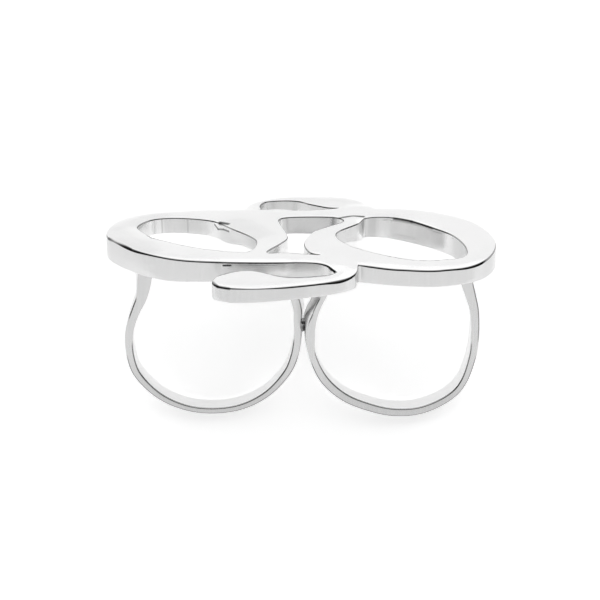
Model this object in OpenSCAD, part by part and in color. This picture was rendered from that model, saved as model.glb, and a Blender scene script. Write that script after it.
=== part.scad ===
// Double ring: a flat double swirl carried by two finger hoops that stand side by side.
// Cast and soldered metal, so the whole ring is one solid.
// The ring is drawn upright first (x along the swirl, y along the fingers, z up) and is then
// tipped back on to the table, where it rests on both hoops and the rear edge of the swirl.

/* [Fingers] */
// inside width of each finger hole, in mm
finger_hole_d = 17.5; // [16.8:0.1:18.4]
// distance between the middles of the two hoops, in mm
hoop_spacing = 19.65; // [19.4:0.05:19.8]
// width of each hoop along the finger, in mm
band_w = 2.3; // [1.6:0.1:2.9]

/* [Swirl] */
// length of the swirl across both fingers, in mm
swirl_len = 41.85; // [40.5:0.05:43.5]
// thickness of the swirl at its middle, in mm
swirl_t = 2.34; // [2.0:0.02:3.0]
// radius of the soft top edges of the swirl, in mm
edge_r = 0.3; // [0.2:0.05:0.4]

/* [Hoops] */
// height of the flat underside of the swirl above the lowest point of the hoops, in mm
under_z = 18.4; // [18.2:0.05:19.2]
// turn of the right hoop about the vertical, in degrees
right_turn = 6; // [0:1:9]
// how far the right hoop stands forward of the left one, in mm
right_step = 0.95; // [0:0.05:1.4]
// how deep the hoop ends sit in the underside, in mm
root_depth = 0.4; // [0.2:0.05:0.8]

/* [Hidden] */

silver = [0.86, 0.86, 0.87];
drawn_len = 41.85;
k = swirl_len / drawn_len;
span_steps = 4;
hoop_steps = 3;
hoop_r = finger_hole_d / 2;
// the hoops as drawn: their spacing, the place of their middles and the metal under the finger
drawn_spacing = 19.65;
drawn_left_x = -9.35;
drawn_right_x = 10.3;
base_t = 0.7;
hoop_z = hoop_r + base_t;
left_x = drawn_left_x - (hoop_spacing - drawn_spacing) / 2;
right_x = drawn_right_x + (hoop_spacing - drawn_spacing) / 2;
// small bevel along the edges of the hoops
corner = 0.12;
// the most that an outline corner is stretched when it is set in is one over this
mitre = 0.75;

// Outline of the swirl seen from above, columns: x, y, in mm at the drawn length
// left loop, from the notch behind the back hook, round the left end, to the front slot
left_band = [
    [-6.35, 11.00], [-10.65, 10.30], [-17.00, 8.60], [-20.20, 5.10], [-20.75, -0.35],
    [-17.95, -4.40], [-14.25, -6.95], [-10.00, -7.35], [-4.75, -7.25], [1.70, -7.10], [3.85, -8.80]];
// front hook, from the end of its slot, round its leaf-shaped tail, to the front notch
front_hook = [
    [3.85, -8.80], [2.55, -9.35], [-1.05, -9.85], [-5.05, -8.85], [-8.00, -9.75], [-9.00, -11.80],
    [-8.40, -12.80], [-6.80, -13.05], [-4.30, -12.95], [-0.95, -12.20], [3.50, -10.80], [5.75, -9.35],
    [6.25, -7.50]];
// right loop, from the front notch, round the right end, to the notch beside the back hook
right_band = [
    [6.25, -7.50], [10.65, -8.50], [15.10, -8.65], [19.40, -6.65], [21.10, -2.25],
    [19.35, 2.75], [15.90, 5.95], [12.00, 7.90], [8.45, 8.75]];
// back hook, from the tip of its tail to the notch where the left loop starts
back_hook = [
    [8.45, 8.75], [7.85, 10.60], [6.85, 12.55], [4.90, 14.20], [1.70, 15.10], [-2.00, 15.40],
    [-5.20, 13.70], [-6.35, 11.00]];
// openings of the two loops, of the gap between them and inside the back hook
left_hole = [
    [-17.67, 3.30], [-16.35, 6.00], [-14.20, 6.83], [-11.45, 6.45], [-9.30, 5.40], [-7.50, 3.10],
    [-4.70, -0.75], [-5.45, -4.40], [-9.35, -4.05], [-12.30, -2.95], [-15.15, -1.05], [-16.60, 0.80]];
right_hole = [
    [4.05, 1.15], [6.45, 3.95], [7.35, 5.50], [9.30, 5.35], [12.30, 3.70], [15.00, 1.60], [16.70, -0.40],
    [17.78, -3.20], [17.42, -5.35], [14.50, -6.40], [11.40, -6.05], [7.70, -4.30], [5.10, -2.10]];
middle_gap = [
    [-2.15, 5.95], [-0.70, 6.63], [3.60, 6.25], [4.87, 4.85], [2.98, 3.15], [1.36, 1.42], [0.52, -1.86],
    [1.12, -4.40], [2.10, -5.00], [-1.36, -4.55], [-3.40, -4.45], [-1.90, -1.85], [-1.22, 0.40],
    [-2.05, 4.30]];
back_gap = [
    [-4.40, 12.20], [-3.75, 13.90], [-1.80, 14.15], [-0.10, 13.55], [1.20, 12.20], [3.10, 10.65],
    [4.50, 9.60], [3.00, 8.95], [0.60, 8.90], [-2.40, 9.25], [-3.95, 10.50]];

// Hoops, walked round from the left root to the right root
// columns: angle from the lowest point, inner reach as a share of hoop_r, thickness, extra turn
left_hoop = [
    [-140.8, 1.262, 1.55, 14], [-130.8, 1.052, 1.60, 8], [-120, 0.963, 1.25, 3], [-110, 0.967, 1.02, 2],
    [-100, 0.983, 0.95, 0], [-90, 1.009, 0.91, 0], [-75, 1.038, 0.87, 0], [-60, 1.060, 0.82, 0],
    [-40, 1.044, 0.76, 0], [-20, 1.022, 0.71, 0], [0, 1.000, 0.71, 0], [20, 1.000, 0.72, 0],
    [40, 1.000, 0.74, 0], [60, 1.002, 0.80, 0], [75, 0.998, 0.88, 0], [90, 1.005, 0.89, -2],
    [100, 1.024, 0.92, -4], [108, 1.060, 0.98, -5], [115, 1.076, 1.02, -4], [124, 1.100, 1.15, 0],
    [134, 1.117, 1.40, 0], [143.4, 1.180, 1.65, 0]];
right_hoop = [
    [-140.8, 1.226, 1.60, 0], [-132.6, 1.098, 1.25, 5], [-124, 1.060, 0.76, 10], [-117, 1.047, 0.70, 8],
    [-110, 1.045, 0.71, 12], [-103, 1.026, 0.92, 8], [-95, 1.000, 0.99, 1], [-80, 0.995, 0.85, 0],
    [-60, 0.965, 0.94, 0], [-40, 0.937, 0.95, 0], [-20, 0.919, 0.96, 0], [0, 0.955, 0.95, 0],
    [20, 1.010, 0.92, 0], [40, 1.053, 0.82, 0], [55, 1.046, 0.76, 0], [75, 0.992, 0.83, -2],
    [90, 0.974, 0.91, -4], [100, 0.988, 0.94, -5], [110, 1.011, 1.03, -5], [120, 1.033, 1.19, -4],
    [130, 1.088, 1.37, 0], [139.8, 1.257, 1.52, 4]];

// Smooth lines through the tables
function blend(a, b, c, d, t) =
    0.5 * (2 * b + (c - a) * t + (2 * a - 5 * b + 4 * c - d) * t * t
           + (3 * b - a - 3 * c + d) * t * t * t);
function trail(p, n) =
    let (m = len(p), q = concat([2 * p[0] - p[1]], p, [2 * p[m - 1] - p[m - 2]]))
    [for (i = [0 : m - 2], j = [0 : n - 1]) blend(q[i], q[i + 1], q[i + 2], q[i + 3], j / n)];
function ring_of(p, n) =
    let (m = len(p))
    [for (i = [0 : m - 1], j = [0 : n - 1])
        blend(p[(i + m - 1) % m], p[i], p[(i + 1) % m], p[(i + 2) % m], j / n)];

outer = k * concat(trail(left_band, span_steps), trail(front_hook, span_steps),
                   trail(right_band, span_steps), trail(back_hook, span_steps));
holes = [for (h = [left_hole, right_hole, middle_gap, back_gap]) k * ring_of(h, span_steps)];

// Top of the swirl: thick at the ends, twisted, thinner at the two hooks
function ease(t) = let (c = min(max(t, 0), 1)) c * c * (3 - 2 * c);
// shares per mm or per square mm: wedge, twist, end swell and front and back fall
wedge = 0.0074;
twist = 0.0032;
swell = 0.0009;
fall = 0.003;
// line along the swirl that the twist and the fall start from
spine_y = 0.5;
// step down on to the two hooks: depth, where it starts and how far it takes
step_down = 0.35;
step_y = [8, 2.5];
step_x = [7, 5];
// lift of the front: height, where it starts and how far it takes, and where it fades to the right
front_lift = 0.15;
lift_y = [0.5, 3];
lift_x = [15, 3];
// soft swellings of the top, columns: x, y, reach, rise
swellings = [[11.3, 4.1, 5.0, 0.24], [-14.5, -7.2, 4.0, 0.12]];
function total(v) = v * [for (a = v) 1];
function thick(x, y) =
    let (v = y - spine_y)
    swirl_t + wedge * x + twist * x * v + swell * x * x - fall * v * v
    - step_down * ease((abs(v) - step_y[0]) / step_y[1]) * (1 - ease((abs(x) - step_x[0]) / step_x[1]))
    + front_lift * ease((lift_y[0] - y) / lift_y[1]) * (1 - ease((x - lift_x[0]) / lift_x[1]))
    + total([for (s = swellings) s[3] * ease(1 - norm([x - s[0], y - s[1]]) / s[2])]);
function top_z(p) = under_z + thick(p[0] / k, p[1] / k);

// direction away from the metal at each point of an outline, stretched at corners
function away(p) =
    let (m = len(p))
    [for (i = [0 : m - 1])
        let (a = p[i] - p[(i + m - 1) % m], b = p[(i + 1) % m] - p[i],
             u = a / norm(a), v = b / norm(b), s = u + v, w = s / norm(s),
             c = max(mitre, u * w))
        [w[1], -w[0]] / c];

// the wall along one outline, from the flat underside up round the soft top edge
// columns: inset and drop from the top, as shares of edge_r
round_edge = [[0, 1], [0.134, 0.5], [0.5, 0.134], [1, 0]];
levels = len(round_edge) + 1;
function wall_points(p) =
    let (dir = away(p))
    concat([for (q = p) [q[0], q[1], under_z]],
           [for (c = round_edge, i = [0 : len(p) - 1])
               let (q = p[i] - dir[i] * c[0] * edge_r) [q[0], q[1], top_z(q) - c[1] * edge_r]]);
function wall_faces(n, first) =
    [for (l = [0 : levels - 2], i = [0 : n - 1], h = [0, 1])
        let (a = first + l * n + i, b = first + l * n + (i + 1) % n, c = b + n, d = a + n)
        h == 0 ? [a, c, b] : [a, d, c]];

// the top and the underside are one face each: a short bridge leads from the outer edge to each opening
outlines = concat([outer], holes);
firsts = [for (i = 0, f = 0; i < len(outlines); f = f + levels * len(outlines[i]), i = i + 1) f];
function nearest(p, q) =
    let (d = [for (a = p, b = q) norm(a - b)], m = search(min(d), d)[0])
    [floor(m / len(q)), m % len(q)];
bridges = [for (h = holes) nearest(outer, h)];
function loop_at(o, level, from) =
    let (n = len(outlines[o]), first = firsts[o] + level * n)
    [for (i = [0 : n]) first + (from + i) % n];
function cap(level) =
    [for (i = [0 : len(outer) - 1])
        each concat([level * len(outer) + i],
                    [for (j = [0 : len(holes) - 1]) if (bridges[j][0] == i)
                        each concat(loop_at(j + 1, level, bridges[j][1]), [level * len(outer) + i])])];
function backwards(f) = [for (i = [len(f) - 1 : -1 : 0]) f[i]];

module swirl() {
    points = [for (o = outlines) each wall_points(o)];
    walls = [for (i = [0 : len(outlines) - 1]) each wall_faces(len(outlines[i]), firsts[i])];
    polyhedron(points, concat(walls, [backwards(cap(levels - 1)), cap(0)]));
}

function section(t) =
    let (a = t / 2, b = band_w / 2)
    [[a, corner - b], [a, b - corner], [a - corner, b], [corner - a, b],
     [-a, b - corner], [-a, corner - b], [corner - a, -b], [a - corner, -b]];
// middle line: columns x, z, thickness, turn
function middle_line(rows, turn) =
    let (full = [for (r = rows)
            let (far = r[1] * hoop_r + r[2] / 2)
            [far * sin(r[0]), hoop_z - far * cos(r[0]), r[2], r[3] + turn]])
    concat(trail(full, hoop_steps), [full[len(full) - 1]]);
function hoop_points(rows, turn, place) =
    let (line = middle_line(rows, turn), n = len(line),
         last = under_z + root_depth - line[n - 1][1], first = under_z + root_depth - line[0][1])
    [for (i = [0 : n - 1])
        let (a = line[max(i - 1, 0)], b = line[min(i + 1, n - 1)],
             tx = b[0] - a[0], tz = b[1] - a[1], tn = norm([tx, tz]),
             out = [tz / tn, -tx / tn], yaw = line[i][3],
             lift = i == 0 ? first : i == n - 1 ? last : 0,
             flat = i == 0 || i == n - 1)
        for (s = section(line[i][2]))
            let (along = line[i][0] + s[0] * (flat ? sign(out[0]) : out[0]),
                 up = line[i][1] + lift + (flat ? 0 : s[0] * out[1]))
            [place[0] + along * cos(turn) - s[1] * sin(yaw),
             place[1] + along * sin(turn) + s[1] * cos(yaw), up]];
module hoop(pts) {
    s = len(section(1));
    n = len(pts) / s;
    walls = [for (i = [0 : n - 2], j = [0 : s - 1], h = [0, 1])
        let (a = i * s + j, b = i * s + (j + 1) % s, c = b + s, d = a + s)
        h == 0 ? [a, c, b] : [a, d, c]];
    start = [for (j = [0 : s - 1]) j];
    end = [for (j = [s - 1 : -1 : 0]) (n - 1) * s + j];
    polyhedron(pts, concat(walls, [start, end]));
}
// each root widens into the underside through two short flares
// columns: sections down from the root, size there, size at the root
flares = [[4, 0.9, 1.06], [2, 0.92, 1.16]];
function mean_of(pts, i) = total([for (p = pts) p[i]]) / len(pts);
function sized(pts, size) = let (c = [for (i = [0 : 2]) mean_of(pts, i)]) [for (p = pts) c + size * (p - c)];
module root(pts) {
    s = len(section(1));
    n = len(pts) / s;
    walls = [for (j = [0 : s - 1]) [j, (j + 1) % s, (j + 1) % s + s, j + s]];
    ends = [[for (j = [s - 1 : -1 : 0]) j], [for (j = [0 : s - 1]) j + s]];
    for (f = flares, far_end = [false, true]) {
        from = far_end ? n - 1 - f[0] : f[0];
        to = far_end ? n - 1 : 0;
        hull()
            polyhedron(concat(sized([for (j = [0 : s - 1]) pts[from * s + j]], f[1]),
                              sized([for (j = [0 : s - 1]) pts[to * s + j]], f[2])),
                       concat(walls, ends));
    }
}
left_points = hoop_points(left_hoop, 0, [left_x, 0]);
right_points = hoop_points(right_hoop, right_turn, [right_x, -right_step]);

// bead of solder where the two hoops meet: its place from the middle of the gap between their lower
// halves, how far it bites into them, and its half sizes from front to back and upwards
bead_at = [-0.1, -1.05, 1.3];
bead_bite = 0.2;
bead_y = 0.45;
bead_z = 0.8;
bead_sides = 10;
gap_from = max([for (p = left_points) if (p[2] < hoop_z) p[0]]);
gap_to = min([for (p = right_points) if (p[2] < hoop_z) p[0]]);
module solder_bead() {
    translate([(gap_from + gap_to) / 2 + bead_at[0], bead_at[1], hoop_z + bead_at[2]])
        scale([(gap_to - gap_from) / 2 + bead_bite, bead_y, bead_z])
            sphere(1, $fn = bead_sides);
}

module upright_ring() {
    swirl();
    solder_bead();
    for (pts = [left_points, right_points]) {
        hoop(pts);
        root(pts);
    }
}

// Resting pose: the table touches one point of each hoop and one of the swirl
swirl_points = concat([for (p = outer) [p[0], p[1], under_z]],
                      [for (p = outer) [p[0], p[1], top_z(p) - edge_r]]);
function lowest(pts, up) =
    let (d = [for (p = pts) p * up], low = min(d)) pts[search(low, d)[0]];
function rest_up(up, n) =
    n == 0 ? up :
    let (a = lowest(left_points, up), b = lowest(right_points, up), c = lowest(swirl_points, up),
         m = cross(b - a, c - a), v = m / norm(m))
    rest_up(v * up > 0 ? v : -v, n - 1);
table_up = rest_up([0, -0.8, 0.6], 4);
side = [1, 0, 0] - table_up[0] * table_up;
table_x = side / norm(side);
table_y = cross(table_up, table_x);
all_points = concat(left_points, right_points, swirl_points);
on_table = [for (p = all_points) [p * table_x, p * table_y, p * table_up]];
function mid_of(i) = let (v = [for (q = on_table) q[i]]) (min(v) + max(v)) / 2;
floor_z = min([for (q = on_table) q[2]]);

module double_ring() {
    color(silver)
        multmatrix([[table_x[0], table_x[1], table_x[2], -mid_of(0)],
                    [table_y[0], table_y[1], table_y[2], -mid_of(1)],
                    [table_up[0], table_up[1], table_up[2], -floor_z],
                    [0, 0, 0, 1]])
            upright_ring();
}

double_ring();
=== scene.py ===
# Looks of the double ring: one smooth polished silver skin over the CAD solid.
# The shape comes from the same tables and sizes as the CAD source, in mm, drawn upright
# and then tipped on to the table. Everything here is made at finer steps.

import math

import bpy
import numpy as np
from mathutils import Matrix, Vector
from mathutils.geometry import delaunay_2d_cdt
from mathutils.kdtree import KDTree


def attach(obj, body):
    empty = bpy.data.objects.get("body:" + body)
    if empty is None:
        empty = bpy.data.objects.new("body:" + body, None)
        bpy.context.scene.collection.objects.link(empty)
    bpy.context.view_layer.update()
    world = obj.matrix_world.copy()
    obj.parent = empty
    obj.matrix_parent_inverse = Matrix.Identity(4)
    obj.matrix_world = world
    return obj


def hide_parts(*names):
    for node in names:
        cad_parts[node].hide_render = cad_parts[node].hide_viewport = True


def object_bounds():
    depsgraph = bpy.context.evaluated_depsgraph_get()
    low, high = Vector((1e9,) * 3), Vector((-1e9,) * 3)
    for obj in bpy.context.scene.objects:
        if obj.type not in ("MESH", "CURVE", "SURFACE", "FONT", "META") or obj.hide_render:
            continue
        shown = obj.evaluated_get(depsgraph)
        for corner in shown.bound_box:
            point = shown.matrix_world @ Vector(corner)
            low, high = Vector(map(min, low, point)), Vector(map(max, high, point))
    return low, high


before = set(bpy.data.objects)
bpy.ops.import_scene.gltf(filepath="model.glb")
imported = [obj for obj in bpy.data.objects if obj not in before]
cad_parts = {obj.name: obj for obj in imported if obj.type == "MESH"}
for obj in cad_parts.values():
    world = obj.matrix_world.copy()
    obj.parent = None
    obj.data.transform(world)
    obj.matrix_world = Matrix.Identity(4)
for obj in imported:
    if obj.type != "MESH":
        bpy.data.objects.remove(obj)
cad_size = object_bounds()

MM = 0.001
# Directions of the upright ring
UP = (0, 0, 1)
FORWARD = (0, -1, 0)

# Sizes of the CAD source in mm, the turn of its right hoop in degrees, and its steps
HOLE_R = 8.75
BASE_T = 0.7
HOOP_Z = HOLE_R + BASE_T
LEFT_X = -9.35
RIGHT_X = 10.3
BAND_W = 2.3
UNDER_Z = 18.4
EDGE_R = 0.3
RIGHT_TURN = 6.0
RIGHT_STEP = 0.95
ROOT_DEPTH = 0.4
LEFT_AT = (LEFT_X, 0)
RIGHT_AT = (RIGHT_X, -RIGHT_STEP)
CORNER = 0.12
CAD_SPAN_STEPS = 4
CAD_HOOP_STEPS = 3

# Outline of the swirl seen from above: x, y
LEFT_BAND = [
    (-6.35, 11.00), (-10.65, 10.30), (-17.00, 8.60), (-20.20, 5.10), (-20.75, -0.35),
    (-17.95, -4.40), (-14.25, -6.95), (-10.00, -7.35), (-4.75, -7.25), (1.70, -7.10), (3.85, -8.80)]
FRONT_HOOK = [
    (3.85, -8.80), (2.55, -9.35), (-1.05, -9.85), (-5.05, -8.85), (-8.00, -9.75), (-9.00, -11.80),
    (-8.40, -12.80), (-6.80, -13.05), (-4.30, -12.95), (-0.95, -12.20), (3.50, -10.80), (5.75, -9.35),
    (6.25, -7.50)]
RIGHT_BAND = [
    (6.25, -7.50), (10.65, -8.50), (15.10, -8.65), (19.40, -6.65), (21.10, -2.25),
    (19.35, 2.75), (15.90, 5.95), (12.00, 7.90), (8.45, 8.75)]
BACK_HOOK = [
    (8.45, 8.75), (7.85, 10.60), (6.85, 12.55), (4.90, 14.20), (1.70, 15.10), (-2.00, 15.40),
    (-5.20, 13.70), (-6.35, 11.00)]
LEFT_HOLE = [
    (-17.67, 3.30), (-16.35, 6.00), (-14.20, 6.83), (-11.45, 6.45), (-9.30, 5.40), (-7.50, 3.10),
    (-4.70, -0.75), (-5.45, -4.40), (-9.35, -4.05), (-12.30, -2.95), (-15.15, -1.05), (-16.60, 0.80)]
RIGHT_HOLE = [
    (4.05, 1.15), (6.45, 3.95), (7.35, 5.50), (9.30, 5.35), (12.30, 3.70), (15.00, 1.60), (16.70, -0.40),
    (17.78, -3.20), (17.42, -5.35), (14.50, -6.40), (11.40, -6.05), (7.70, -4.30), (5.10, -2.10)]
MIDDLE_GAP = [
    (-2.15, 5.95), (-0.70, 6.63), (3.60, 6.25), (4.87, 4.85), (2.98, 3.15), (1.36, 1.42), (0.52, -1.86),
    (1.12, -4.40), (2.10, -5.00), (-1.36, -4.55), (-3.40, -4.45), (-1.90, -1.85), (-1.22, 0.40),
    (-2.05, 4.30)]
BACK_GAP = [
    (-4.40, 12.20), (-3.75, 13.90), (-1.80, 14.15), (-0.10, 13.55), (1.20, 12.20), (3.10, 10.65),
    (4.50, 9.60), (3.00, 8.95), (0.60, 8.90), (-2.40, 9.25), (-3.95, 10.50)]

OPENINGS = [LEFT_HOLE, RIGHT_HOLE, MIDDLE_GAP, BACK_GAP]

# Hoops: angle from the lowest point, inner reach as a share of the hole radius, thickness, extra turn
LEFT_HOOP = [
    (-140.8, 1.262, 1.55, 14), (-130.8, 1.052, 1.60, 8), (-120, 0.963, 1.25, 3), (-110, 0.967, 1.02, 2),
    (-100, 0.983, 0.95, 0), (-90, 1.009, 0.91, 0), (-75, 1.038, 0.87, 0), (-60, 1.060, 0.82, 0),
    (-40, 1.044, 0.76, 0), (-20, 1.022, 0.71, 0), (0, 1.000, 0.71, 0), (20, 1.000, 0.72, 0),
    (40, 1.000, 0.74, 0), (60, 1.002, 0.80, 0), (75, 0.998, 0.88, 0), (90, 1.005, 0.89, -2),
    (100, 1.024, 0.92, -4), (108, 1.060, 0.98, -5), (115, 1.076, 1.02, -4), (124, 1.100, 1.15, 0),
    (134, 1.117, 1.40, 0), (143.4, 1.180, 1.65, 0)]
RIGHT_HOOP = [
    (-140.8, 1.226, 1.60, 0), (-132.6, 1.098, 1.25, 5), (-124, 1.060, 0.76, 10), (-117, 1.047, 0.70, 8),
    (-110, 1.045, 0.71, 12), (-103, 1.026, 0.92, 8), (-95, 1.000, 0.99, 1), (-80, 0.995, 0.85, 0),
    (-60, 0.965, 0.94, 0), (-40, 0.937, 0.95, 0), (-20, 0.919, 0.96, 0), (0, 0.955, 0.95, 0),
    (20, 1.010, 0.92, 0), (40, 1.053, 0.82, 0), (55, 1.046, 0.76, 0), (75, 0.992, 0.83, -2),
    (90, 0.974, 0.91, -4), (100, 0.988, 0.94, -5), (110, 1.011, 1.03, -5), (120, 1.033, 1.19, -4),
    (130, 1.088, 1.37, 0), (139.8, 1.257, 1.52, 4)]

# Thickness of the swirl: in mm at its middle, then shares per mm or per square mm
SWIRL_T = 2.34
WEDGE = 0.0074
TWIST = 0.0032
SWELL = 0.0009
FALL = 0.003
# Line along the swirl that the twist and the fall start from
SPINE_Y = 0.5
# Step down on to the two hooks: depth, where it starts and how far it takes
STEP_DOWN = 0.35
STEP_Y = (8, 2.5)
STEP_X = (7, 5)
# Lift of the front: height, where it starts and how far it takes, and where it fades to the right
FRONT_LIFT = 0.15
LIFT_Y = (0.5, 3)
LIFT_X = (15, 3)
# Soft swellings of the top: x, y, reach, rise
SWELLINGS = [(11.3, 4.1, 5.0, 0.24), (-14.5, -7.2, 4.0, 0.12)]


def blend(a, b, c, d, t):
    """One point of the smooth line through four table rows, between the middle two."""
    return tuple(
        0.5 * (2 * q + (r - p) * t + (2 * p - 5 * q + 4 * r - s) * t * t
               + (3 * q - p - 3 * r + s) * t * t * t)
        for p, q, r, s in zip(a, b, c, d))


def reach_out(a, b):
    """The row beyond row a, in line with row b."""
    return tuple(2 * p - q for p, q in zip(a, b))


def trail(rows, steps):
    """Open smooth line, without its last row."""
    full = [reach_out(rows[0], rows[1])] + list(rows) + [reach_out(rows[-1], rows[-2])]
    return [blend(*full[i:i + 4], j / steps) for i in range(len(rows) - 1) for j in range(steps)]


def ring_of(rows, steps):
    """Closed smooth line."""
    n = len(rows)
    return [blend(rows[i - 1], rows[i], rows[(i + 1) % n], rows[(i + 2) % n], j / steps)
            for i in range(n) for j in range(steps)]


def outer_line(steps):
    """The outline of the swirl, closed."""
    return (trail(LEFT_BAND, steps) + trail(FRONT_HOOK, steps)
            + trail(RIGHT_BAND, steps) + trail(BACK_HOOK, steps))


def ease(t):
    """Smooth change from nothing to one, as t goes from nothing to one."""
    c = min(max(t, 0.0), 1.0)
    return c * c * (3 - 2 * c)


def ease_over(value, change):
    """The same for a change that is given by its start and its length."""
    start, length = change
    return ease((value - start) / length)


def closeness(x, y, cx, cy, reach):
    """One at a place, nothing at its reach, and less than nothing beyond."""
    return 1 - math.hypot(x - cx, y - cy) / reach


def top_z(x, y):
    """Height of the top of the swirl before its edges are rounded."""
    v = y - SPINE_Y
    step = ease_over(abs(v), STEP_Y) * (1 - ease_over(abs(x), STEP_X))
    lift = ease((LIFT_Y[0] - y) / LIFT_Y[1]) * (1 - ease_over(x, LIFT_X))
    swelling = sum(rise * ease(closeness(x, y, cx, cy, reach)) for cx, cy, reach, rise in SWELLINGS)
    return (UNDER_Z + SWIRL_T + WEDGE * x + TWIST * x * v + SWELL * x * x - FALL * v * v
            - STEP_DOWN * step + FRONT_LIFT * lift + swelling)


def middle_line(rows, turn, steps):
    """Middle line of a hoop: x, z, thickness, turn."""
    full = []
    for angle, reach, thick, extra in rows:
        far = reach * HOLE_R + thick / 2
        w = math.radians(angle)
        full.append((far * math.sin(w), HOOP_Z - far * math.cos(w), thick, extra + turn))
    return trail(full, steps) + [full[-1]]


def hoop_rings(rows, turn, where, steps, section):
    """Rings of points along a hoop. Its first and last rings lie flat inside the swirl."""
    line = middle_line(rows, turn, steps)
    n = len(line)
    cos_t = math.cos(math.radians(turn))
    sin_t = math.sin(math.radians(turn))
    rings = []
    for i, (x, z, thick, yaw) in enumerate(line):
        a = line[max(i - 1, 0)]
        b = line[min(i + 1, n - 1)]
        run = math.hypot(b[0] - a[0], b[1] - a[1])
        out = ((b[1] - a[1]) / run, -(b[0] - a[0]) / run)
        flat = i in (0, n - 1)
        cos_y = math.cos(math.radians(yaw))
        sin_y = math.sin(math.radians(yaw))
        ring = []
        for s, across in section(thick):
            along = x + s * (math.copysign(1, out[0]) if flat else out[0])
            up = UNDER_Z + ROOT_DEPTH if flat else z + s * out[1]
            ring.append(Vector((where[0] + along * cos_t - across * sin_y,
                                where[1] + along * sin_t + across * cos_y, up)))
        rings.append(ring)
    return rings


def chamfered(thick):
    """Cross-section of a hoop of the CAD solid: across its thickness, along the finger."""
    a = thick / 2
    b = BAND_W / 2
    c = CORNER
    return [(a, c - b), (a, b - c), (a - c, b), (c - a, b),
            (-a, b - c), (-a, c - b), (c - a, -b), (a - c, -b)]


# Resting pose, worked out from the CAD solid's own points
UP_GUESS = (0, -0.8, 0.6)
POSE_ROUNDS = 4


def cad_points():
    """Points of the left hoop, the right hoop and the swirl."""
    left = sum(hoop_rings(LEFT_HOOP, 0, LEFT_AT, CAD_HOOP_STEPS, chamfered), [])
    right = sum(hoop_rings(RIGHT_HOOP, RIGHT_TURN, RIGHT_AT, CAD_HOOP_STEPS, chamfered), [])
    outer = outer_line(CAD_SPAN_STEPS)
    swirl = [Vector((x, y, UNDER_Z)) for x, y in outer]
    swirl += [Vector((x, y, top_z(x, y) - EDGE_R)) for x, y in outer]
    return left, right, swirl


def resting_pose():
    """Matrix that tips the upright ring on to the table, on one point of each hoop and of the swirl."""
    left, right, swirl = cad_points()
    up = Vector(UP_GUESS)
    for _ in range(POSE_ROUNDS):
        a, b, c = (min(points, key=lambda p: p.dot(up)) for points in (left, right, swirl))
        up_next = (b - a).cross(c - a).normalized()
        up = up_next if up_next.dot(up) > 0 else -up_next
    table_x = (Vector((1, 0, 0)) - up[0] * up).normalized()
    table_y = up.cross(table_x)
    placed = [(p.dot(table_x), p.dot(table_y), p.dot(up)) for p in left + right + swirl]
    mid = [(min(q[i] for q in placed) + max(q[i] for q in placed)) / 2 for i in (0, 1)]
    low = min(q[2] for q in placed)
    return Matrix((
        (table_x[0], table_x[1], table_x[2], -mid[0]),
        (table_y[0], table_y[1], table_y[2], -mid[1]),
        (up[0], up[1], up[2], -low),
        (0, 0, 0, 1)))


TO_TABLE = resting_pose()

# The skin is a touch smaller than the solid, so that it stays inside the solid's box
SKIN = 0.998
SKIN_MIDDLE = (Vector(cad_size[0]) + Vector(cad_size[1])) / 2


def place(p):
    """Where a point of the upright ring, in mm, lies on the table, in metres."""
    return SKIN_MIDDLE + SKIN * ((TO_TABLE @ Vector(p)) * MM - SKIN_MIDDLE)


def turn_only(d):
    """Where a direction of the upright ring points on the table."""
    return (TO_TABLE.to_3x3() @ Vector(d)).normalized()


def quads(first, n, rings):
    """Four-sided faces between rings of n points that follow each other from point first."""
    return [(a + i, a + (i + 1) % n, a + (i + 1) % n + n, a + i + n)
            for a in range(first, first + (rings - 1) * n, n) for i in range(n)]


def tree_of(points):
    """Search tree of flat points."""
    tree = KDTree(len(points))
    for i, p in enumerate(points):
        tree.insert((p[0], p[1], 0), i)
    tree.balance()
    return tree


# Swirl: walls, soft edges, and a top and an underside that are filled with points
SPAN_STEPS = 14
FILL_STEP = 0.22
UNDER_STEP = 0.9
# Grid of those points: first corner, size, gap between its rows as a share of its step, and the
# share of a step that stays clear beside an edge
GRID_FROM = (-22.0, -14.0)
GRID_SIZE = (44, 31)
ROW_GAP = 0.866
CLEAR_GAP = 0.6
# What joins those points: triangles inside the edges only, and the distance that counts as none
INSIDE_EDGES = 1
SAME_POINT = 1e-6
# The most that an outline corner is stretched when it is set in is one over this
MITRE = 0.75
# How far the edge of the top lies below the CAD solid's top, before the crown rises over it
TOP_DROP = 0.15
# Crown: its rise, and how far from the edge it takes to rise
CROWN = 0.2
CROWN_W = 1.6
# Slope of the crown where it starts, in degrees, and of a wall
CROWN_SLOPE = math.degrees(math.atan(2 * CROWN / CROWN_W))
WALL_SLOPE = 90
# Top edge, from the top down: slope at the end of each short stretch in degrees, its length in mm
BEVEL = [(40, 0.05), (50, 0.04), (58, 0.06), (66, 0.06), (76, 0.05), (84, 0.02), (WALL_SLOPE, 0.02)]
# Width of the top edge round an opening, as a share of BEVEL's
HOLE_EDGE = 0.7
# Places where the top edge is wider, or narrower with a gain under one: x, y, reach, gain
WORN = [(-17.6, -4.0, 3.0, 1.6), (3.4, -9.6, 2.5, 1.5), (18.5, -7.0, 3.0, 1.4), (13.5, 2.8, 3.0, 1.35),
        (4.4, -10.3, 2.0, 1.4), (-4.5, -12.9, 4.0, 0.5), (6.1, -8.3, 1.3, 0.2), (9.0, 5.3, 3.0, 0.75),
        (0.5, -7.1, 3.2, 0.65)]
# Walls: heights of their rings as shares, and the small round of their foot: radius, and angles
# from the underside to the wall
WALL_SHARES = (0.3, 0.6, 0.9)
FOOT_R = 0.12
FOOT_ANGLES = (90, 60, 30, 0)
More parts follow.
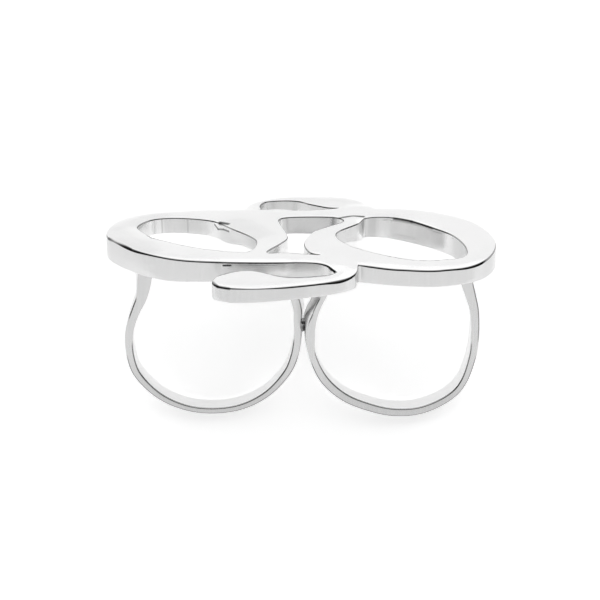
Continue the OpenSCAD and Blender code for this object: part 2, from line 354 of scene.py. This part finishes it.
# Places where a wall is cut back from below: x, y, reach, rise, depth into the metal
CUT_BACK = [(-6.0, -0.1, 5.0, 1.5, 1.3), (5.4, 2.2, 3.2, 0.75, 1.2), (-9.0, -12.4, 2.2, 0.2, 0.4)]
# Growth of a cut with the closeness to its middle, so that it is full before the middle
CUT_GROWTH = 1.6


def bevel_steps():
    """The top edge as (inset, drop, slope) from the top down, its first step at the full inset."""
    inset = 0.0
    drop = 0.0
    slope = CROWN_SLOPE
    steps = [(inset, drop, slope)]
    for end, length in BEVEL:
        middle = math.radians((slope + end) / 2)
        inset += length * math.cos(middle)
        drop += length * math.sin(middle)
        slope = end
        steps.append((inset, drop, slope))
    full = inset
    return [(full - inset, drop, slope) for inset, drop, slope in steps]


BEVEL_STEPS = bevel_steps()
BEVEL_DROP = BEVEL_STEPS[-1][1]
# Distance from the outline at which the crown starts: most of the edge's full inset
CROWN_START = 0.8 * BEVEL_STEPS[0][0]

# Share of the light that each kind of surface throws back
TOP_TONE = 0.81
UNDER_TONE = 0.75
# The next two are painted reflection: the dark line along the top edge and the grey rim above it
PAINTED_LINE_TONE = 0.3
PAINTED_RIM_TONE = 0.7
# Walls of the outer line and of OPENINGS in turn, with painted shade: facing the front, or else right or
# left
WALL_TONES = [(0.75, 0.68, 0.68), (0.74, 0.80, 0.60), (0.66, 0.62, 0.68), (0.68, 0.95, 0.95),
              (0.67, 0.67, 0.67)]
# Painted light: how much lighter the same walls are where they slant to the right and to the left
PAINTED_SLANT_GAINS = [(0, 0), (0.25, 0.15), (0.1, 0.45), (0, 0), (0, 0)]
# Changes of tone with the direction away from the metal, in y or to either side: start, length
FRONT_TURN = (-0.95, 0.5)
BACK_TURN = (0.1, 0.5)
RIM_TURN = (0.2, 0.4)
SLANT_FROM = (0.1, 0.3)
SLANT_TO = (0.7, 0.25)
# Slopes of the top edge between which the painted dark line of reflection lies, in degrees
LINE_SLOPES = (45, 80)


def away(line):
    """Direction away from the metal at each point of an outline."""
    out = []
    n = len(line)
    for i in range(n):
        a = Vector(line[i]) - Vector(line[i - 1])
        b = Vector(line[(i + 1) % n]) - Vector(line[i])
        u = a.normalized()
        v = b.normalized()
        w = (u + v).normalized()
        c = max(MITRE, u.dot(w))
        out.append(Vector((w[1], -w[0])) / c)
    return out


def on_metal(lines, points):
    """True for each point that lies between the outer line and the openings."""
    x, y = np.array(points).T
    inside = np.zeros(len(x), bool)
    for line in lines:
        a = np.array(line)
        b = np.roll(a, -1, axis=0)
        for (ax, ay), (bx, by) in zip(a, b):
            if ay != by:
                crossing_x = (bx - ax) * (y - ay) / (by - ay) + ax
                inside ^= ((ay > y) != (by > y)) & (x < crossing_x)
    return inside


def crown(d):
    """How far the top has risen at a distance from its edge."""
    t = max(0.0, 1 - d / CROWN_W)
    return CROWN * (1 - t * t)


def skin_z(x, y):
    """Height of the skin's top without its crown."""
    return top_z(x, y) - TOP_DROP


def edge_size(x, y, is_hole):
    """Width of the top edge as a share of BEVEL's."""
    size = HOLE_EDGE if is_hole else 1.0
    for cx, cy, reach, gain in WORN:
        size *= 1 + (gain - 1) * ease(closeness(x, y, cx, cy, reach))
    return size


def cut_back(x, y):
    """Rise and depth of the foot of a wall."""
    rise = FOOT_R
    depth = FOOT_R
    for cx, cy, reach, up, back in CUT_BACK:
        share = ease(CUT_GROWTH * closeness(x, y, cx, cy, reach))
        rise += up * share
        depth += back * share
    return rise, depth


def wall_tone(d, tones, gains):
    """Tone of a wall that faces direction d, with painted shade and painted light by that direction."""
    front, right, left = tones
    side, gain = (right, gains[0]) if d[0] > 0 else (left, gains[1])
    slant = gain * ease_over(abs(d[0]), SLANT_FROM) * (1 - ease_over(abs(d[0]), SLANT_TO))
    return (front + (side - front) * ease_over(d[1], FRONT_TURN)) * (1 + slant)


def edge_tone(turn_y, slope, is_hole):
    """Tone of the top edge: a fine dark line of painted reflection in front and at the sides, and a
    grey rim of painted reflection above it where the edge of an opening faces back."""
    if LINE_SLOPES[0] < slope < LINE_SLOPES[1]:
        return TOP_TONE + (PAINTED_LINE_TONE - TOP_TONE) * (1 - ease_over(turn_y, BACK_TURN))
    if is_hole and slope < LINE_SLOPES[0]:
        return TOP_TONE + (PAINTED_RIM_TONE - TOP_TONE) * ease_over(turn_y, RIM_TURN)
    return TOP_TONE


def edge_levels(line, dirs, is_hole):
    """Rings of points from the foot of a wall up over its top edge, each with its slope."""
    cuts = [cut_back(x, y) for x, y in line]
    sizes = [edge_size(x, y, is_hole) for x, y in line]
    levels = []
    for angle in FOOT_ANGLES:
        inwards = 1 - math.cos(math.radians(angle))
        upwards = 1 - math.sin(math.radians(angle))
        ring = [(x - d[0] * depth * inwards, y - d[1] * depth * inwards, UNDER_Z + rise * upwards)
                for (x, y), d, (rise, depth) in zip(line, dirs, cuts)]
        levels.append((ring, WALL_SLOPE))
    for share in WALL_SHARES:
        ring = [(x, y, UNDER_Z + rise + share * (skin_z(x, y) - BEVEL_DROP * size - UNDER_Z - rise))
                for (x, y), (rise, _), size in zip(line, cuts, sizes)]
        levels.append((ring, WALL_SLOPE))
    for inset, drop, slope in reversed(BEVEL_STEPS):
        ring = []
        for (x, y), d, size in zip(line, dirs, sizes):
            px = x - d[0] * inset * size
            py = y - d[1] * inset * size
            ring.append((px, py, skin_z(px, py) - drop * size))
        levels.append((ring, slope))
    return levels


def fill(verts, rings, step, height):
    """Triangles without slivers between rings of points. The points of the grid are added to verts."""
    points = []
    index = []
    edges = []
    for ring in rings:
        start = len(points)
        points.extend(Vector(verts[v][:2]) for v in ring)
        index.extend(ring)
        edges.extend((start + i, start + (i + 1) % len(ring)) for i in range(len(ring)))
    bounds = [[verts[v][:2] for v in ring] for ring in rings]
    ring_tree = tree_of(points)
    rows = int(GRID_SIZE[1] / (step * ROW_GAP))
    columns = int(GRID_SIZE[0] / step)
    grid = [(GRID_FROM[0] + (i + row % 2 / 2) * step, GRID_FROM[1] + row * step * ROW_GAP)
            for row in range(rows) for i in range(columns)]
    for (x, y), keep in zip(grid, on_metal(bounds, grid)):
        if keep and ring_tree.find((x, y, 0))[2] > step * CLEAR_GAP:
            points.append(Vector((x, y)))
            index.append(None)
    flat, _, triangles, sources, _, _ = delaunay_2d_cdt(points, edges, [], INSIDE_EDGES, SAME_POINT)
    known = [[index[s] for s in src if index[s] is not None] for src in sources]
    corners = [old[0] if old else None for old in known]
    middles = [tuple(sum((flat[i] for i in f), Vector((0, 0))) / len(f)) for f in triangles]
    faces = []
    for triangle, keep in zip(triangles, on_metal(bounds, middles)):
        if not keep:
            continue
        for i in triangle:
            if corners[i] is None:
                x, y = flat[i]
                verts.append((x, y, height(x, y)))
                corners[i] = len(verts) - 1
        faces.append(tuple(corners[i] for i in triangle))
    return faces


def swirl_mesh():
    """Points, faces, and how satin and how light each point is."""
    lines = [outer_line(SPAN_STEPS)] + [ring_of(h, SPAN_STEPS) for h in OPENINGS]
    verts = []
    faces = []
    satin = []
    tone = []
    foot_rings = []
    inner_rings = []
    for number, line in enumerate(lines):
        is_hole = number > 0
        n = len(line)
        first = len(verts)
        dirs = away(line)
        levels = edge_levels(line, dirs, is_hole)
        for ring, slope in levels:
            verts.extend(ring)
            is_wall = slope == WALL_SLOPE
            satin.extend([1.0 if is_wall else 0.0] * n)
            if is_wall:
                tone.extend(wall_tone(d, WALL_TONES[number], PAINTED_SLANT_GAINS[number]) for d in dirs)
            else:
                tone.extend(edge_tone(d[1], slope, is_hole) for d in dirs)
        faces.extend(quads(first, n, len(levels)))
        foot_rings.append(range(first, first + n))
        inner_rings.append(range(len(verts) - n, len(verts)))

    outlines = tree_of([p for line in lines for p in line])

    def top_height(x, y):
        far = outlines.find((x, y, 0))[2]
        return skin_z(x, y) + crown(max(0.0, far - CROWN_START))

    faces.extend(fill(verts, inner_rings, FILL_STEP, top_height))
    satin.extend([0.0] * (len(verts) - len(satin)))
    tone.extend([TOP_TONE] * (len(verts) - len(tone)))
    underside = fill(verts, foot_rings, UNDER_STEP, lambda x, y: UNDER_Z)
    faces.extend(tuple(reversed(f)) for f in underside)
    satin.extend([1.0] * (len(verts) - len(satin)))
    tone.extend([UNDER_TONE] * (len(verts) - len(tone)))
    return verts, faces, satin, tone


# Hoops: steps between two table rows and round an edge, radius of the edges, and how satin they are
HOOP_STEPS = 9
EDGE_STEPS = 4
HOOP_BEVEL = 0.16
HOOP_SATIN = 0.8
# Tones of their inside, of their outside and sides, and of the front at the bottom: painted light and shade
INSIDE_TONE = 0.84
HOOP_TONE = 0.70
BOTTOM_SHADE_TONE = 0.60
# Change from the bottom to the sides, in degrees from the lowest point: start, length
SIDE_TURN = (30, 50)
# Painted reflections: dark stretches along the front edges of a hoop: angles from and to, tone
INNER_LEFT = [(-84, -52, 0.3), (-52, 52, 0.7), (52, 86, 0.2)]
OUTER_LEFT = [(-118, -103, 0.15), (-75, 75, 0.35)]
INNER_RIGHT = [(-82, -45, 0.45), (-45, 45, 0.75), (45, 84, 0.35)]
OUTER_RIGHT = [(-75, 75, 0.35), (86, 128, 0.3)]
# Degrees over which such a stretch fades at each end
FADE = 6


def rounded(thick):
    """Cross-section of a hoop with round edges: across its thickness, along the finger."""
    a = thick / 2
    b = BAND_W / 2
    out = []
    for sx, sy, start in ((1, 1, 0), (-1, 1, 90), (-1, -1, 180), (1, -1, 270)):
        for i in range(EDGE_STEPS + 1):
            w = math.radians(start + 90 * i / EDGE_STEPS)
            out.append((sx * (a - HOOP_BEVEL) + HOOP_BEVEL * math.cos(w),
                        sy * (b - HOOP_BEVEL) + HOOP_BEVEL * math.sin(w)))
    return out


def painted_dark_stretch(angle, stretches):
    """Share of the tone that is left at an angle along a hoop, under the painted dark stretches."""
    tone = 1.0
    for first, last, value in stretches:
        share = ease((angle - first) / FADE + 0.5) * ease((last - angle) / FADE + 0.5)
        tone += (value - tone) * share
    return tone


def hoop_tones(x, z, inner, outer):
    """Tones round one section, with painted light and shade: outer back, inner back, inner front and outer
    front edges in turn.
    """
    angle = math.degrees(math.atan2(x, HOOP_Z - z))
    front = BOTTOM_SHADE_TONE + (HOOP_TONE - BOTTOM_SHADE_TONE) * ease_over(abs(angle), SIDE_TURN)
    edge = EDGE_STEPS + 1
    middle = EDGE_STEPS - 1
    return ([HOOP_TONE] * edge + [INSIDE_TONE] * edge
            + [INSIDE_TONE] + [front * painted_dark_stretch(angle, inner)] * middle + [front]
            + [front] + [front * painted_dark_stretch(angle, outer)] * middle + [HOOP_TONE])


def hoop_mesh(rows, turn, where, inner, outer):
    """A tube of rings, closed by a flat face at each end."""
    rings = hoop_rings(rows, turn, where, HOOP_STEPS, rounded)
    n = len(rings[0])
    verts = [tuple(p) for ring in rings for p in ring]
    faces = [(a, d, c, b) for a, b, c, d in quads(0, n, len(rings))]
    faces.append(tuple(range(n)))
    faces.append(tuple(reversed(range(len(verts) - n, len(verts)))))
    tone = []
    for x, z, _, _ in middle_line(rows, turn, HOOP_STEPS):
        tone.extend(hoop_tones(x, z, inner, outer))
    return verts, faces, [HOOP_SATIN] * len(verts), tone


# Bead of solder between the hoops: its middle, half sizes, sides, and its dark tone, painted shade in the
# joint
BEAD_AT = (0.41, -1.05, 10.75)
BEAD_R = (0.335, 0.44, 0.79)
BEAD_SIDES = 20
BEAD_SHADE_TONE = 0.4


def bead_mesh():
    """A squashed ball: rings of points between its two poles."""
    rows = BEAD_SIDES // 2
    ball = [(0, 0, -1)]
    for i in range(1, rows):
        high = math.pi * (i / rows - 0.5)
        for j in range(BEAD_SIDES):
            turn = 2 * math.pi * j / BEAD_SIDES
            ball.append((math.cos(high) * math.cos(turn), math.cos(high) * math.sin(turn), math.sin(high)))
    ball.append((0, 0, 1))
    verts = [tuple(c + r * u for c, r, u in zip(BEAD_AT, BEAD_R, p)) for p in ball]
    faces = quads(1, BEAD_SIDES, rows - 1)
    top = len(verts) - 1
    for j in range(BEAD_SIDES):
        beside = (j + 1) % BEAD_SIDES
        faces.append((0, 1 + beside, 1 + j))
        faces.append((top - BEAD_SIDES + j, top - BEAD_SIDES + beside, top))
    return verts, faces, [HOOP_SATIN] * len(verts), [BEAD_SHADE_TONE] * len(verts)


# Marks on the swirl, as short strokes: x, y, drop below the top edge, the same again, width, tone
MARKS = [
    # painted shade along the seam where the right band meets the back bar
    (4.30, 5.82, -0.12, 7.10, 5.76, -0.12, 0.26, 0.12),
    # a nick in the far edge of the left opening: its painted dark reflection, painted shade on the wall
    # under it, and a painted highlight beside it
    (-8.70, 4.95, 0.05, -7.80, 4.25, 0.00, 0.34, 0.08),
    (-9.30, 5.40, 0.39, -8.96, 5.02, 0.82, 0.15, 0.3),
    (-8.96, 5.02, 0.82, -8.33, 4.20, 0.58, 0.15, 0.3),
    (-8.33, 4.20, 0.58, -7.70, 3.37, 0.52, 0.15, 0.3),
    (-9.20, 5.25, 0.25, -7.60, 3.25, 0.25, 0.35, 1.15),
    # painted highlight on the inner corner of the right opening, and painted shade on the wall beside it
    (6.75, 4.30, 0.20, 6.75, 4.30, 1.90, 0.70, 1.25),
    (6.95, 4.80, 0.30, 6.95, 4.80, 1.60, 0.80, 1.25),
    (8.60, 5.50, 1.10, 10.00, 5.00, 1.10, 1.80, 0.92),
    # fine second dark lines under the edge: painted reflection
    (-15.70, -6.15, 0.30, -12.90, -7.20, 0.46, 0.05, 0.4),
    (-8.00, -7.30, 0.42, -2.20, -7.15, 0.40, 0.06, 0.6),
    (7.80, 5.46, 0.36, 9.80, 5.22, 0.36, 0.10, 0.75),
    (9.80, 5.22, 0.36, 12.30, 3.70, 0.38, 0.10, 0.75),
    (12.30, 3.70, 0.38, 15.00, 1.60, 0.40, 0.10, 0.7),
    (15.00, 1.60, 0.40, 16.60, -0.30, 0.38, 0.10, 0.7),
    # heavier stretches of the painted dark reflection line: far rim of the right opening, tail of the hook,
    # left end
    (10.40, 4.80, 0.14, 12.30, 3.70, 0.14, 0.24, 0.25),
    (12.30, 3.70, 0.14, 14.40, 2.08, 0.14, 0.22, 0.3),
    (-9.00, -11.90, 0.12, -8.38, -12.80, 0.12, 0.22, 0.15),
    (-8.38, -12.80, 0.12, -7.20, -13.00, 0.12, 0.20, 0.2),
    (-20.60, -0.90, 0.12, -17.90, -4.40, 0.12, 0.22, 0.2),
    # a dark blot on the front wall
    (-7.95, -7.36, 0.45, -7.20, -7.36, 0.42, 0.15, 0.05),
    # painted dark reflection at the end of the edge in the bend of the front hook
    (2.70, -7.75, 0.15, 3.30, -8.30, 0.20, 0.22, 0.1),
    # painted shade: the wall of the front hook is a little darker
    (-7.50, -13.00, 1.20, 0.00, -12.30, 1.20, 2.00, 0.95),
    # painted light: the far wall behind the tail of the front hook is lighter
    (-7.60, -7.30, 0.60, -1.50, -7.15, 0.60, 1.10, 1.25),
    (-1.50, -7.15, 0.60, 1.60, -7.10, 0.60, 1.10, 1.05),
    # painted shade: darker stretches of the top
    (2.00, 14.20, 0.0, 6.50, 12.40, 0.0, 2.0, 0.96),
    (-6.60, 4.30, 0.0, -4.50, 0.60, 0.0, 2.4, 0.91),
    (-20.20, 0.80, 0.0, -16.20, -5.00, 0.0, 2.2, 0.90),
    (-19.50, 3.00, 0.0, -15.50, 7.30, 0.0, 2.0, 0.92),
    # upright file lines on the far walls
    (-16.05, 6.20, 0.30, -16.00, 6.20, 1.90, 0.05, 0.7),
    (-15.20, 6.60, 0.20, -15.15, 6.60, 2.00, 0.14, 0.75),
    (-12.35, 6.65, 0.20, -12.35, 6.65, 2.00, 0.12, 0.85),
    (10.60, 4.60, 1.90, 12.60, 3.40, 2.00, 0.20, 0.85),
    (4.10, 6.10, 0.20, 4.10, 6.10, 1.80, 0.12, 0.75),
    (3.75, 6.22, 0.20, 3.75, 6.22, 1.80, 0.08, 0.8),
    # painted shade in the creases of the inner bend of the left band
    (-3.30, -4.35, 0.30, -2.50, -3.20, 0.90, 0.06, 0.6),
    (-2.90, -3.80, 0.20, -2.10, -2.40, 1.10, 0.06, 0.6)]
# Marks on the hoops, the same with true heights: painted shade round the solder joint, and two scratches
HOOP_MARKS = [
    (0.45, -1.45, 10.60, 0.50, -1.50, 10.30, 0.38, 0.4),
    (0.75, -2.00, 10.60, 0.95, -2.10, 11.50, 0.90, 0.75),
    (0.78, -1.90, 11.00, 0.76, -1.90, 10.30, 0.50, 0.4),
    (0.76, -1.90, 10.30, 0.75, -1.90, 9.60, 0.50, 0.4),
    (0.05, -1.15, 13.90, 0.20, -1.15, 11.20, 0.45, 0.88),
    (1.95, -2.00, 13.80, 1.35, -2.00, 12.20, 0.50, 0.75),
    (1.20, -2.00, 12.30, 0.85, -2.00, 11.20, 0.60, 0.6),
    (1.83, -2.91, 14.36, 1.29, -2.95, 13.07, 0.10, 0.5),
    (2.21, -2.90, 14.60, 1.50, -2.95, 13.07, 0.09, 0.5)]
# Share of a mark's width that has its full tone
MARK_CORE = 0.35

# Noises over the upright ring in mm: scale, detail and stretch. Upright strokes of the file on the
# walls, faint clouds of handling everywhere, and gentle unevenness left by hand polishing
STROKES = (1.0, 3, (6.0, 6.0, 0.35))
CLOUDS = (0.45, 2, (1, 1, 1))
UNEVEN = (0.5, 2, (1, 1, 1))
# The part of a noise that is used, and what strokes and clouds turn it into
NOISE_RANGE = (0.3, 0.7)
STROKE_TONES = (0.955, 1.0)
CLOUD_TONES = (0.965, 1.0)
CLOUD_ROUGHNESS = (0.0, 0.04)
# Roughness, and strength of the strokes' bumps, where the silver is bright and where it is satin
ROUGHNESS = (0.12, 0.22)
STROKE_STRENGTH = (0.1, 0.5)
UNEVEN_STRENGTH = 0.6
# Depth of the bumps, in metres
STROKE_DEPTH = 0.000006
UNEVEN_DEPTH = 0.00003


def mark_list():
    """Every mark as its start, its end, its width and its tone, with true heights."""
    out = []
    for x0, y0, drop0, x1, y1, drop1, width, tone in MARKS:
        start = (x0, y0, skin_z(x0, y0) - drop0)
        end = (x1, y1, skin_z(x1, y1) - drop1)
        out.append((start, end, width, tone))
    for x0, y0, z0, x1, y1, z1, width, tone in HOOP_MARKS:
        out.append(((x0, y0, z0), (x1, y1, z1), width, tone))
    return out


def add_node(tree, kind, output, values, **settings):
    """One output of a new node, whose inputs are given as numbers or as outputs of other nodes."""
    node = tree.nodes.new(kind)
    for name, value in settings.items():
        setattr(node, name, value)
    for socket, value in values.items():
        if isinstance(value, bpy.types.NodeSocket):
            tree.links.new(value, node.inputs[socket])
        else:
            node.inputs[socket].default_value = value
    return node.outputs[output]


def change_of(tree, source, low, high, value_low, value_high, **settings):
    """A value that changes while its source goes from low to high, and stays the same beyond."""
    values = {"Value": source, "From Min": low, "From Max": high, "To Min": value_low, "To Max": value_high}
    return add_node(tree, "ShaderNodeMapRange", "Result", values, **settings)


def number_node(tree, kind, one, two):
    """One number made from two, such as their product."""
    return add_node(tree, "ShaderNodeMath", "Value", {0: one, 1: two}, operation=kind)


def vector_node(tree, kind, output, values):
    """One result of arithmetic with vectors."""
    return add_node(tree, "ShaderNodeVectorMath", output, values, operation=kind)


def silver_material():
    """Polished silver, read from three values kept on every point of the skin: its place on the
    upright ring in mm, how satin it is (walls and hoops) or bright (top), and its tone, with painted light
    and shade."""
    mat = bpy.data.materials.new("polished_silver")
    mat.use_nodes = True
    tree = mat.node_tree
    bsdf = tree.nodes["Principled BSDF"]
    bsdf.inputs["Metallic"].default_value = 1.0

    def attribute(name, output):
        return add_node(tree, "ShaderNodeAttribute", output, {}, attribute_name=name)

    def noise(scale, detail, stretch):
        where = add_node(tree, "ShaderNodeMapping", "Vector", {"Vector": drawn, "Scale": stretch})
        values = {"Vector": where, "Scale": scale, "Detail": detail}
        return add_node(tree, "ShaderNodeTexNoise", "Fac", values)

    def mark(start, end, width, mark_tone):
        """One at a distance from a short stroke, and its tone on it."""
        run = Vector(end) - Vector(start)
        from_start = vector_node(tree, "SUBTRACT", "Vector", {0: drawn, 1: start})
        along = vector_node(tree, "DOT_PRODUCT", "Value", {0: from_start, 1: run / run.length_squared})
        share = change_of(tree, along, 0, 1, 0, 1)
        nearest = vector_node(tree, "SCALE", "Vector", {0: run, "Scale": share})
        gap = vector_node(tree, "DISTANCE", "Value", {0: from_start, 1: nearest})
        return change_of(tree, gap, MARK_CORE * width, width, mark_tone, 1.0)

    drawn = attribute("drawn", "Vector")
    satin = attribute("satin", "Fac")
    strokes = noise(*STROKES)
    clouds = noise(*CLOUDS)
    base = number_node(tree, "MULTIPLY", change_of(tree, strokes, *NOISE_RANGE, *STROKE_TONES),
                       change_of(tree, clouds, *NOISE_RANGE, *CLOUD_TONES))
    base = number_node(tree, "MULTIPLY", base, attribute("tone", "Fac"))
    # The marks multiply the tone: painted shade, light and reflection, with file lines and scratches
    for start, end, width, mark_tone in mark_list():
        base = number_node(tree, "MULTIPLY", base, mark(start, end, width, mark_tone))
    grey = add_node(tree, "ShaderNodeCombineColor", "Color", {"Red": base, "Green": base, "Blue": base})
    tree.links.new(grey, bsdf.inputs["Base Color"])
    rough = number_node(tree, "ADD", change_of(tree, satin, 0, 1, *ROUGHNESS),
                        change_of(tree, clouds, *NOISE_RANGE, *CLOUD_ROUGHNESS))
    tree.links.new(rough, bsdf.inputs["Roughness"])
    soft = add_node(tree, "ShaderNodeBump", "Normal", {
        "Strength": UNEVEN_STRENGTH, "Distance": UNEVEN_DEPTH, "Height": noise(*UNEVEN)})
    fine = add_node(tree, "ShaderNodeBump", "Normal", {
        "Strength": change_of(tree, satin, 0, 1, *STROKE_STRENGTH), "Distance": STROKE_DEPTH,
        "Height": strokes, "Normal": soft})
    tree.links.new(fine, bsdf.inputs["Normal"])
    return mat


def add_object(name, data):
    thing = bpy.data.objects.new(name, data)
    bpy.context.scene.collection.objects.link(thing)
    return thing


def make_piece(name, parts, mat):
    """One object from several meshes of the upright ring, with their drawn places and tones kept."""
    verts = []
    faces = []
    drawn = []
    satin = []
    tone = []
    for v, f, part_satin, part_tone in parts:
        first = len(verts)
        verts.extend(place(p) for p in v)
        faces.extend(tuple(first + i for i in face) for face in f)
        drawn.extend(v)
        satin.extend(part_satin)
        tone.extend(part_tone)
    mesh = bpy.data.meshes.new(name)
    mesh.from_pydata(verts, [], faces)
    mesh.attributes.new("drawn", "FLOAT_VECTOR", "POINT").data.foreach_set(
        "vector", [c for p in drawn for c in p])
    mesh.attributes.new("satin", "FLOAT", "POINT").data.foreach_set("value", satin)
    mesh.attributes.new("tone", "FLOAT", "POINT").data.foreach_set("value", tone)
    mesh.shade_smooth()
    mesh.materials.append(mat)
    return add_object(name, mesh)


silver = silver_material()
ring = make_piece(
    "polished_ring",
    [swirl_mesh(),
     hoop_mesh(LEFT_HOOP, 0, LEFT_AT, INNER_LEFT, OUTER_LEFT),
     hoop_mesh(RIGHT_HOOP, RIGHT_TURN, RIGHT_AT, INNER_RIGHT, OUTER_RIGHT),
     bead_mesh()],
    silver)
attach(ring, "root")
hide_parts("double_ring")

# Floor: white paper that glows a little. Half its side in metres, how light it is, and its glow
FLOOR_HALF = 1.5
PAPER_GREY = 0.9
PAPER_GLOW = 0.47


def white_floor():
    """A square of paper with the ring in its middle."""
    h = FLOOR_HALF
    mesh = bpy.data.meshes.new("table_top")
    mesh.from_pydata([(-h, -h, 0), (h, -h, 0), (h, h, 0), (-h, h, 0)], [], [(0, 1, 2, 3)])
    paper = bpy.data.materials.new("white_paper")
    paper.use_nodes = True
    bsdf = paper.node_tree.nodes["Principled BSDF"]
    bsdf.inputs["Base Color"].default_value = (PAPER_GREY, PAPER_GREY, PAPER_GREY, 1)
    bsdf.inputs["Roughness"].default_value = 1.0
    bsdf.inputs["Specular IOR Level"].default_value = 0.0
    bsdf.inputs["Emission Color"].default_value = (1, 1, 1, 1)
    bsdf.inputs["Emission Strength"].default_value = PAPER_GLOW
    mesh.materials.append(paper)
    return add_object("table_top", mesh)


floor = white_floor()

# Camera: looks at the ring as the photograph does, 23 degrees above the plane of the swirl
CAM_LIFT = math.radians(23.0)
# Its distance and its target on the upright ring, in mm
CAM_FAR = 250.0
CAM_TARGET = (0.1, 0.0, 13.25)
# Its focal length and the side of the photograph, in pixels
FOCAL = 2287.5
PHOTO_SIDE = 600
# Width of its sensor in mm, and the nearest thing that it sees in metres
SENSOR_W = 36
NEAREST = 0.01


def photo_camera():
    target = Vector(CAM_TARGET)
    eye = target + CAM_FAR * Vector((0, -math.cos(CAM_LIFT), math.sin(CAM_LIFT)))
    data = bpy.data.cameras.new("camera")
    data.sensor_width = SENSOR_W
    data.lens = SENSOR_W * FOCAL / PHOTO_SIDE
    data.clip_start = NEAREST
    look = turn_only(target - eye)
    right = look.cross(turn_only(UP)).normalized()
    over = right.cross(look)
    at = place(eye)
    cam = add_object("camera", data)
    cam.matrix_world = Matrix((
        (right[0], over[0], -look[0], at[0]),
        (right[1], over[1], -look[1], at[1]),
        (right[2], over[2], -look[2], at[2]),
        (0, 0, 0, 1)))
    return cam


bpy.context.scene.camera = photo_camera()

# Light tent: white all round and brightest above. Its open front, where the camera looks in, is
# dark between the table and the roof.
# Changes with the cosine of the angle from a direction: start, end, value at the start, value at the end
TABLE_EDGE = (-0.10, 0.0, 0.0, 1.0)
ROOF_EDGE = (0.5, 0.8, 1.0, 0.0)
OPEN_FRONT = (-0.35, 0.0, 0.0, 0.985)
BRIGHTNESS = (0.3, 0.9, 0.98, 1.3)


def light_tent():
    world = bpy.data.worlds.new("light_tent")
    world.use_nodes = True
    tree = world.node_tree
    background = tree.nodes["Background"]
    background.inputs["Color"].default_value = (1, 1, 1, 1)
    around = add_node(tree, "ShaderNodeTexCoord", "Generated", {})

    def towards(direction, change):
        """A smooth change with the angle from a direction of the upright ring."""
        cosine = vector_node(tree, "DOT_PRODUCT", "Value", {0: around, 1: turn_only(direction)})
        return change_of(tree, cosine, *change, interpolation_type="SMOOTHSTEP")

    between = number_node(tree, "MULTIPLY", towards(UP, TABLE_EDGE), towards(UP, ROOF_EDGE))
    dark = number_node(tree, "MULTIPLY", between, towards(FORWARD, OPEN_FRONT))
    white = number_node(tree, "SUBTRACT", 1.0, dark)
    strength = number_node(tree, "MULTIPLY", white, towards(UP, BRIGHTNESS))
    tree.links.new(strength, background.inputs["Strength"])
    return world


bpy.context.scene.world = light_tent()

# Soft lamp over the table, only for the shadow under the hoops: energy, spread and tilt
LAMP_ENERGY = 0.34
LAMP_SPREAD = math.radians(55)
LAMP_TILT = math.radians(-10)


def soft_lamp():
    data = bpy.data.lights.new("soft_lamp", "SUN")
    data.energy = LAMP_ENERGY
    data.angle = LAMP_SPREAD
    lamp = add_object("soft_lamp", data)
    lamp.rotation_euler = (LAMP_TILT, 0, 0)
    lamp.visible_glossy = False


soft_lamp()

bpy.context.scene.view_settings.view_transform = "Standard"
